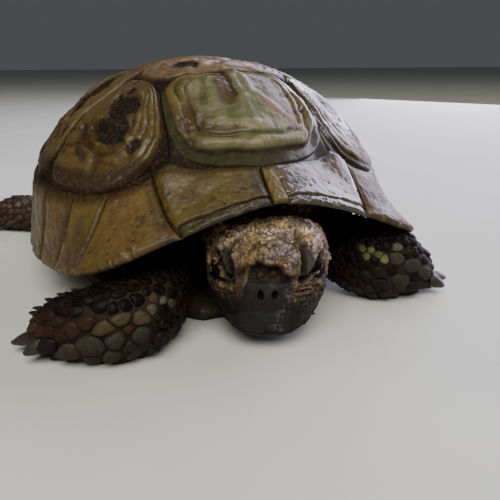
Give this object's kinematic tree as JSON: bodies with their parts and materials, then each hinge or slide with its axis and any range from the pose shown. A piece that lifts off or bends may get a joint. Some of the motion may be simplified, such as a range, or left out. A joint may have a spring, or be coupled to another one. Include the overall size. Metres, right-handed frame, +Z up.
{
  "type": "tortoise, still life-size model",
  "caption": "Russian tortoise lying on its plastron, head half drawn in and turned aside, forelegs folded outwards, glossy horn shell.",
  "frame": {"origin": "on the plastron's flat underside, below the middle of the shell, at the level the animal rests on", "axes": "+Z up, -Y towards the head end, +X towards the animal's left side"},
  "size_m": [0.1691, 0.1715, 0.0775],
  "materials": {
    "shell_dome": "worn glossy horn, olive to brown with dark blotches and growth ridges",
    "shell_edge": "glossy ochre horn with dark seams, chipped along the lower edge",
    "plastron": "worn horn, yellow-brown with dark blotches",
    "skin": "dry brown scaly hide with ochre scales",
    "dark_horn": "smooth dark horn of beak and claws",
    "eye": "wet dark eye"
  },
  "bodies": {
    "root": {"nuchal": "shell_edge", "supracaudal": "shell_edge", "vertebral_1": "shell_dome", "vertebral_2": "shell_dome", "vertebral_3": "shell_dome", "vertebral_4": "shell_dome", "vertebral_5": "shell_dome", "costal_1_left": "shell_dome", "costal_1_right": "shell_dome", "costal_2_left": "shell_dome", "costal_2_right": "shell_dome", "costal_3_left": "shell_dome", "costal_3_right": "shell_dome", "costal_4_left": "shell_dome", "costal_4_right": "shell_dome", "marginal_1_left": "shell_edge", "marginal_1_right": "shell_edge", "marginal_2_left": "shell_edge", "marginal_2_right": "shell_edge", "marginal_3_left": "shell_edge", "marginal_3_right": "shell_edge", "marginal_4_left": "shell_edge", "marginal_4_right": "shell_edge", "marginal_5_left": "shell_edge", "marginal_5_right": "shell_edge", "marginal_6_left": "shell_edge", "marginal_6_right": "shell_edge", "marginal_7_left": "shell_edge", "marginal_7_right": "shell_edge", "marginal_8_left": "shell_edge", "marginal_8_right": "shell_edge", "marginal_9_left": "shell_edge", "marginal_9_right": "shell_edge", "marginal_10_left": "shell_edge", "marginal_10_right": "shell_edge", "marginal_11_left": "shell_edge", "marginal_11_right": "shell_edge", "plastron": "plastron", "trunk": "skin", "head": "skin", "upper_beak": "dark_horn", "lower_jaw": "dark_horn", "eye_left": "eye", "eye_right": "eye", "neck": "skin", "tail": "skin", "arm_left": "skin", "arm_right": "skin", "forearm_left": "skin", "forearm_right": "skin", "leg_left": "skin", "leg_right": "skin", "foot_left": "skin", "foot_right": "skin"}
  },
  "joints": []
}
